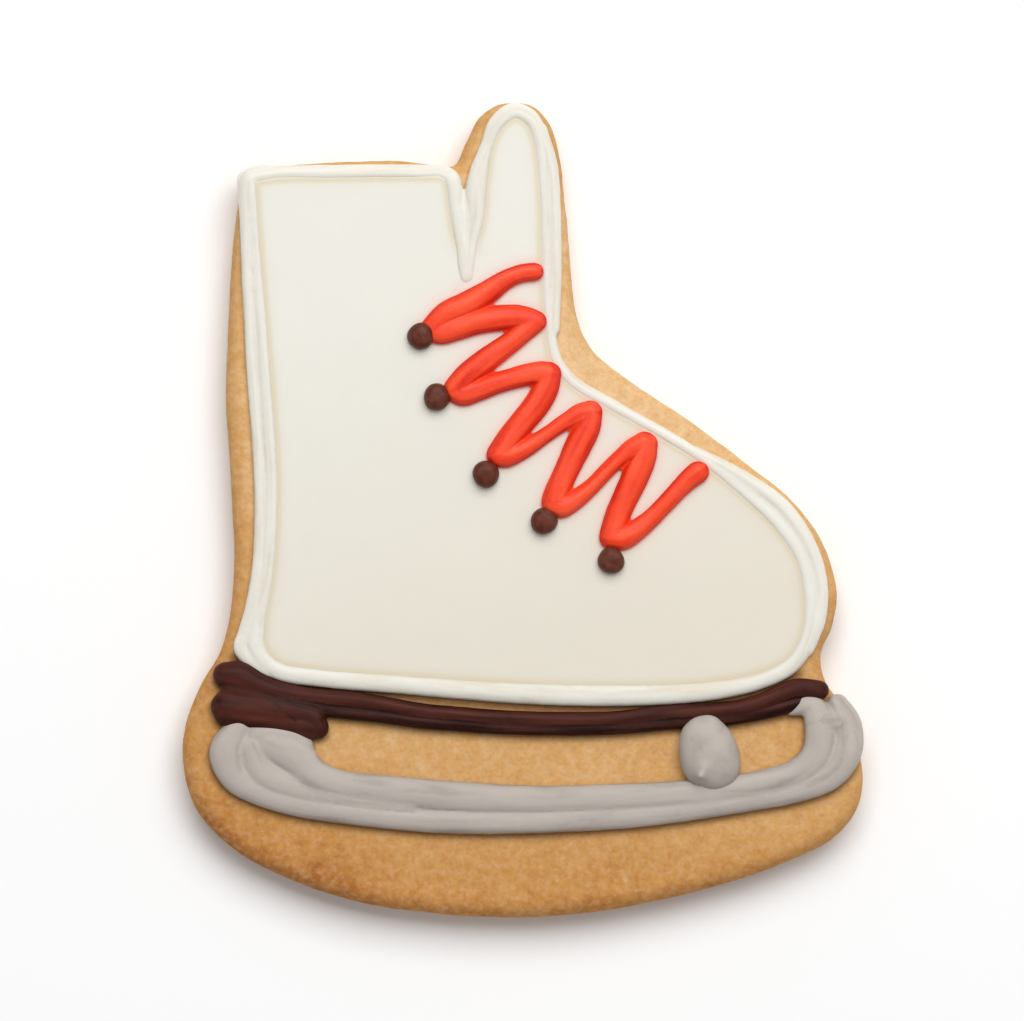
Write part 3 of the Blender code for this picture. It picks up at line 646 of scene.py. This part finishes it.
def flooded_icing():
    """Royal icing run out thin and set: off-white, even, with a soft satin skin.

    The grain of its skin, under 0.1 mm, is drawn at 0.5 mm, so that it shows at all.
    """
    material, shader, place = new_material(
        "flooded_royal_icing", IOR=1.45, Subsurface_Weight=0.15, Subsurface_Scale=0.0015)
    shader.inputs["Subsurface Radius"].default_value = (1.0, 0.8, 0.55)
    groove = add_node(material, "Attribute", attribute_name="groove").outputs["Fac"]
    bleed = add_node(material, "Attribute", attribute_name="bleed").outputs["Fac"]
    patch = add_node(material, "TexNoise", {"Vector": place, "Scale": per_mm(14.0),
                                            "Detail": 2.0})
    falloff_shade = add_node(material, "Attribute", attribute_name="falloff_shade").outputs["Fac"]
    colour = mixed(material, patch.outputs["Fac"], "#E9E7DE", "#E6E4DA")
    # Painted shade: the panel is drawn darker and warmer towards the bottom and the toe,
    # where the light falls off.
    colour = mixed(material, falloff_shade, colour, "#E3DCCD")
    # Painted shade: the groove along the border is tinted tan.
    colour = mixed(material, groove, colour, "#D8C9A6")
    colour = mixed(material, bleed, colour, "#EDAF9B")
    material.node_tree.links.new(colour, shader.inputs["Base Color"])
    skin = add_node(material, "TexNoise", {"Vector": place, "Scale": per_mm(0.5),
                                           "Detail": 2.0})
    rough = add_node(material, "MapRange", {"Value": skin.outputs["Fac"], "To Min": 0.36,
                                            "To Max": 0.5})
    material.node_tree.links.new(rough.outputs[0], shader.inputs["Roughness"])
    bump = add_node(material, "Bump", {"Height": skin.outputs["Fac"], "Strength": 0.15,
                                       "Distance": 0.05 * MM})
    material.node_tree.links.new(bump.outputs[0], shader.inputs["Normal"])
    return material


def piped_icing(name, groove, body, crest, roughness, scatter, shine=0.3):
    """Stiff royal icing squeezed through a tip: satin, streaked along its stroke.

    The grain of its skin, under 0.1 mm, is drawn at 0.35 mm, so that it shows at all.
    """
    material, shader, place = new_material(
        name, IOR=1.45, Specular_IOR_Level=shine, Subsurface_Weight=scatter,
        Subsurface_Scale=0.001)
    shader.inputs["Subsurface Radius"].default_value = (1.0, 0.85, 0.65)
    streak = add_node(material, "Attribute", attribute_name="streak").outputs["Fac"]
    fleck = add_node(material, "TexNoise", {"Vector": place, "Scale": per_mm(0.8),
                                            "Detail": 3.0})
    # Low shares, in creases and on strokes given painted shade, take the groove colour:
    # painted shade there.
    share = add_node(material, "Math", {0: fleck.outputs["Fac"], 1: 0.25, 2: streak},
                     operation="MULTIPLY_ADD")
    tone = add_node(material, "ValToRGB", {"Fac": share.outputs[0]}, stops=[
        (0.2, groove), (0.55, body), (0.95, crest)])
    material.node_tree.links.new(tone.outputs[0], shader.inputs["Base Color"])
    rough = add_node(material, "MapRange", {
        "Value": fleck.outputs["Fac"], "To Min": roughness - 0.06,
        "To Max": roughness + 0.08})
    material.node_tree.links.new(rough.outputs[0], shader.inputs["Roughness"])
    fine = add_node(material, "TexNoise", {"Vector": place, "Scale": per_mm(0.35),
                                           "Detail": 2.0})
    bump = add_node(material, "Bump", {"Height": fine.outputs["Fac"], "Strength": 0.3,
                                       "Distance": 0.06 * MM})
    material.node_tree.links.new(bump.outputs[0], shader.inputs["Normal"])
    return material


def bake_biscuit():
    """The baked slab: rounded rim, sandy relief, and browning towards its edge."""
    loop = smooth_path(BISCUIT_EDGE, EDGE_STEP, closed=True)
    insets = [RIM_RADIUS * (1 - math.cos(math.radians(angle))) for angle in RIM_ANGLES]
    mesh = slab_mesh("biscuit", loop, insets, BISCUIT_SPACING, rim_height, BISCUIT_WALL,
                     seed=3)
    points, normals = points_of(mesh), normals_of(mesh)
    _, across, _ = EDGE_TRACE.find(points)
    inset = np.maximum(-across, 0.0)
    foot = 1 - blend(0.0, FLAT_FOOT, points[:, 2])
    relief = (relief_at(points, DOUGH_RELIEF) - DOUGH_SINK) * (1 - foot)
    points = points + normals * relief[:, None]
    points[:, 2] = np.clip(points[:, 2], 0.0, None)
    set_points(mesh, points)

    x, y = points[:, 0], points[:, 1]
    edge = 1 - blend(0.0, 3.5, inset)
    corner = np.hypot(x - HEEL_CORNER[0], y - HEEL_CORNER[1])
    parts = {"edge": edge,
             "lower half": 1 - blend(-25.0, 18.0, y),
             "lowest edge": 1 - blend(-48.0, -34.0, y),
             "back": 1 - blend(-38.0, -30.0, x),
             "top edge": edge * blend(38.0, 42.0, y),
             "heel corner": 1 - blend(6.0, 16.0, corner),
             "patches": noise_at(points, 6.0, 2, 3.0)}
    browning = sum((BROWNER[part] * share for part, share in parts.items()), start=PALEST)
    set_values(mesh, "browning", browning)

    # Painted shade on the dough: darker in the narrow pocket between border and sole, and
    # just below the sole and the blade, where their shadows fall.
    border, sole, blade = Trace(BORDER_STROKES), Trace(SOLE_STROKES), Trace(BLADE_STROKES)
    pocket = ((1 - blend(0.3, 1.5, clear_of(border, points)))
              * (1 - blend(0.3, 1.5, clear_of(sole, points))))
    # Looked up a little towards the cuff and the lamp, so that the painted shade lies only on
    # the icing's lower side, where its shadow falls.
    toward_lamp = points + (0.0, 0.4, 0.0)
    clear = np.minimum(clear_of(sole, toward_lamp), clear_of(blade, toward_lamp))
    below = 1 - blend(-0.1, 0.6, clear)
    top = points[:, 2] > BISCUIT_TOP - 1.0
    painted_shade = np.clip(PAINTED_SHADE_POCKET * pocket + PAINTED_SHADE_BELOW * below, 0.0, 0.9) * top
    set_values(mesh, "painted_shade", painted_shade)
    return place_piece("baked_biscuit", mesh, ["biscuit"],
                       baked_short_dough())


def flood_panel():
    """The flooded panel: a thin even sheet that dips to a groove along the border."""
    edge = [(x, y) for x, y, _ in BORDER_CUFF[:-1] + BORDER_BOOT[:-1]]
    loop = smooth_path(edge[::-1], EDGE_STEP, closed=True)
    border, laces = Trace(BORDER_STROKES), Trace(LACE_STROKES)
    end_x, end_y, _ = BORDER_NOTCH[-1]

    def beside_border(plan):
        """How far each point is clear of the border, and how open the groove is there.

        The groove closes towards the end of the V, which melts into the panel.
        """
        notch_end = np.hypot(plan[:, 0] - end_x, plan[:, 1] - end_y)
        return clear_of(border, plan), blend(1.5, 6.0, notch_end)

    def panel_height(plan):
        """Height of the panel's top over each point."""
        clear, open_groove = beside_border(plan)
        groove = (GROOVE_DEPTH * (1 - blend(-0.9, -0.35, clear))
                  + GROOVE_LIP * (1 - blend(-0.1, 0.8, clear)))
        return PANEL_TOP - groove * open_groove + PANEL_CROWN * blend(0.5, 12.0, clear)

    mesh = slab_mesh("boot_flood", loop, PANEL_INSETS, PANEL_SPACING, panel_height,
                     PANEL_WALL, seed=11)
    points = points_of(mesh)
    top = points[:, 2] > PANEL_TOP - 0.9
    points[:, 2] += top * relief_at(points, PANEL_RELIEF)
    set_points(mesh, points)
    clear, open_groove = beside_border(points)
    # Painted shade: a tan tint in the groove by the border, fading out into the panel.
    tint = 0.5 * (1 - blend(-0.1, 0.6, clear)) + 0.15 * (1 - blend(0.3, 1.6, clear))
    set_values(mesh, "groove", tint * open_groove)
    # Painted shade: darker and warmer towards the bottom and the toe, where the light falls
    # off.
    set_values(mesh, "falloff_shade", 1 - blend(-30.0, 45.0, points[:, 1] - 0.4 * points[:, 0]))
    bleed = RED_BLEED * (1 - blend(-0.2, 1.3, clear_of(laces, points)))
    set_values(mesh, "bleed", bleed)
    return place_piece("flooded_panel", mesh, ["boot_flood"],
                       flooded_icing())


def pipe(name, strokes, node, material, base, seat, squash, limit, voxel=0.16,
         rounds=8, depth=0.3, seam=0.0, stroke_shade=None, side_shade=None):
    """One piped icing: its strokes run together, with fine ridges drawn along them.

    Wet icing slumps, so heights over `base` ease off towards `limit`, and its foot sinks
    `depth` at most. `seam` deepens the line where two strokes meet. The last two arguments
    give how much painted shade darkens each whole stroke, and each stroke's left side.
    """
    spread = [[(x, y, half + SPREAD) for x, y, half in stroke] for stroke in strokes]
    shells = [stroke_shell(stroke, seat, squash, base) for stroke in spread]
    mesh = run_together(name, shells, voxel, rounds)
    trace = Trace(strokes)
    points, normals = points_of(mesh), normals_of(mesh)
    away, across, index = trace.find(points)
    half, number = trace.half[index], trace.number[index]
    # The streaks are long along a stroke and short across it, and differ in each stroke.
    drawn = np.column_stack([across / half * 1.6, trace.along[index] / 8.0,
                             number * 5.3 + points[:, 2] * 0.6])
    streak = noise_at(drawn, 1.0, 2)
    skin = RIDGE_HEIGHT * streak + LUMP_HEIGHT * noise_at(points, 1.7, 2)
    points = points + normals * skin[:, None]
    level = base(points)
    beside = blend(0.55, 0.95, away / half)
    points[:, 2] -= seam * beside * blend(0.5, 1.0, points[:, 2] - level)
    height = points[:, 2] - level
    slumped = np.where(height > 0, limit * np.tanh(height / limit), height)
    points[:, 2] = level + np.maximum(slumped, -depth)
    set_points(mesh, points)

    # Painted shade: the low parts of the icing and, with a seam, the lines where strokes meet
    # are drawn towards the groove colour, as are the strokes and sides given painted shade.
    crease = np.maximum(1 - blend(0.2, 0.9, slumped / np.percentile(slumped, 90)),
                        beside * min(1.0, seam * 4))
    plain = [0.0] * len(strokes)
    painted_darkening = np.array(stroke_shade or plain)[number]
    painted_darkening = painted_darkening + np.array(side_shade or plain)[number] * blend(0.3, 0.8, across / half)
    set_values(mesh, "streak", 0.5 + 0.4 * streak - 0.35 * crease - painted_darkening)
    return place_piece(name, mesh, [node], material)


def panel_level(points):
    """The flooded panel's top, the same all over."""
    return np.full(len(points), PANEL_TOP)


def dab_mesh(name, place, outline, profile, level):
    """A squeezed dab: its outline in plan, shrunk and raised ring by ring.

    `profile` is (share of the outline, height over `level`) from its foot to its top.
    """
    rings = [np.column_stack([place[0] + outline[:, 0] * share,
                              place[1] + outline[:, 1] * share,
                              np.full(len(outline), level + height)])
             for share, height in profile]
    verts, faces = ring_solid(rings)
    mesh = bpy.data.meshes.new(name)
    mesh.from_pydata(verts.tolist(), [], faces)
    return mesh


def pipe_eyelets():
    """Five round dots, each a steep soft dome over the end of a lace."""
    material = piped_icing("brown_royal_icing_dots", "#3B180F", "#5B2A1D", "#764636",
                           roughness=0.45, scatter=0.1, shine=0.2)
    turn = np.linspace(0, 2 * math.pi, 64, endpoint=False)
    profile = smooth_path(EYELET_DOME, 0.04)
    profile[:, 1] *= EYELET_HEIGHT
    for number, place in enumerate(EYELET_PLACES, start=1):
        # Each dot is a little out of round in its own way.
        phase = np.random.default_rng(40 + number).uniform(0, 2 * math.pi, 2)
        radius = EYELET_RADIUS * (1 + 0.02 * np.sin(2 * turn + phase[0])
                                  + 0.015 * np.sin(3 * turn + phase[1]))
        outline = np.column_stack([radius * np.cos(turn), radius * np.sin(turn)])
        mesh = dab_mesh(f"eyelet_{number}", place, outline, profile, PANEL_TOP)
        points, normals = points_of(mesh), normals_of(mesh)
        lumps = noise_at(points, 1.2, 2)
        set_points(mesh, points + normals * 0.05 * lumps[:, None])
        set_values(mesh, "streak", 0.5 + 0.2 * noise_at(points, 0.9, 2))
        place_piece(f"eyelet_dot_{number}", mesh, [f"eyelet_{number}"],
                    material)


def pipe_post(material):
    """The dab between sole and blade, with the small nipple that the tip left on it."""
    outline = smooth_path(POST_EDGE, 0.2, closed=True) - POST_PLACE
    rise = np.radians(np.linspace(-38, 89, 90))
    profile = np.column_stack([np.cos(rise) ** 0.9, POST_RISE * (0.5 + np.sin(rise))])
    mesh = dab_mesh("blade_post", POST_PLACE, outline, profile, BISCUIT_TOP)
    points, normals = points_of(mesh), normals_of(mesh)
    streak = noise_at(points, 2.2, 2, 2.0)
    points = points + normals * (0.04 * streak)[:, None]
    exposed = blend(BISCUIT_TOP + 0.8, BISCUIT_TOP + 2.0, points[:, 2])
    tip_x, tip_y = POST_TIP
    for shift_x, shift_y, height, radius in POST_BUMPS:
        away = np.hypot(points[:, 0] - tip_x - shift_x, points[:, 1] - tip_y - shift_y)
        points[:, 2] += height * exposed * np.exp(-(away / radius) ** 2)
    set_points(mesh, points)
    set_values(mesh, "streak", 0.42 + 0.2 * streak)
    return place_piece("post_dab", mesh, ["blade_post"], material)


def pipe_icings():
    """Every piped icing on the biscuit and its panel."""
    white = piped_icing("white_piped_royal_icing", "#DBD2BE", "#E4E0D5", "#E8E5DC",
                        roughness=0.42, scatter=0.3)
    red = piped_icing("red_royal_icing", "#DA220C", "#F64725", "#FC5C36",
                      roughness=0.4, scatter=0.1)
    brown = piped_icing("brown_royal_icing", "#230C08", "#421F18", "#562A20",
                        roughness=0.48, scatter=0.05, shine=0.12)
    grey = piped_icing("grey_royal_icing", "#9D948C", "#B5ACA4", "#BBB2AA",
                       roughness=0.55, scatter=0.1)
    pipe("piped_border", BORDER_STROKES, "boot_border", white,
         rim_height, seat=0.4, squash=1.0, limit=2.4, voxel=0.18, side_shade=BORDER_SIDE_SHADE)
    pipe("piped_laces", LACE_STROKES, "laces", red,
         panel_level, seat=0.4, squash=1.0, limit=3.0, depth=0.35, seam=0.35)
    pipe("piped_sole", SOLE_STROKES, "sole", brown,
         rim_height, seat=0.5, squash=1.2, limit=4.0, stroke_shade=SOLE_STROKE_SHADE)
    pipe("piped_blade", BLADE_STROKES, "blade", grey,
         rim_height, seat=0.5, squash=1.1, limit=4.0, voxel=0.18, rounds=9)
    pipe_eyelets()
    pipe_post(grey)


def lay_floor():
    """A plain pale table top under the biscuit."""
    corners = [(x * TABLE_HALF, y * TABLE_HALF, 0)
               for x, y in ((-1, -1), (1, -1), (1, 1), (-1, 1))]
    mesh = bpy.data.meshes.new("table_top")
    mesh.from_pydata(corners, [], [(0, 1, 2, 3)])
    material, shader, _ = new_material("white_table", Roughness=0.9)
    shader.inputs["Base Color"].default_value = linear("#FDFDFD")
    mesh.materials.append(material)
    floor = bpy.data.objects.new("table_top", mesh)
    bpy.context.scene.collection.objects.link(floor)


def light_and_camera():
    """Soft light from beyond the cuff, and a camera straight above with a long lens."""
    scene = bpy.context.scene
    scene.view_settings.view_transform = "Standard"
    world = bpy.data.worlds.new("studio")
    world.use_nodes = True
    background = world.node_tree.nodes["Background"]
    background.inputs["Color"].default_value = (1, 1, 1, 1)
    background.inputs["Strength"].default_value = ROOM_LIGHT
    scene.world = world
    lamp = bpy.data.lights.new("window_light", "AREA")
    lamp.shape = "RECTANGLE"
    lamp.size, lamp.size_y = WINDOW_SIZE
    lamp.energy = WINDOW_POWER
    light = bpy.data.objects.new("window_light", lamp)
    light.location = WINDOW_PLACE
    towards_biscuit = Vector((0, 0, 0)) - light.location
    light.rotation_euler = towards_biscuit.to_track_quat("-Z", "Y").to_euler()
    scene.collection.objects.link(light)

    camera = bpy.data.cameras.new("overhead")
    camera.sensor_width = SENSOR_WIDTH_MM
    camera.lens = SENSOR_WIDTH_MM * (CAMERA_HEIGHT - VIEW_LEVEL) / VIEW_WIDTH
    camera.clip_end = 10.0
    holder = bpy.data.objects.new("overhead", camera)
    holder.location = (*VIEW_MIDDLE, CAMERA_HEIGHT)
    scene.collection.objects.link(holder)
    scene.camera = holder


bake_biscuit()
flood_panel()
pipe_icings()
lay_floor()
light_and_camera()
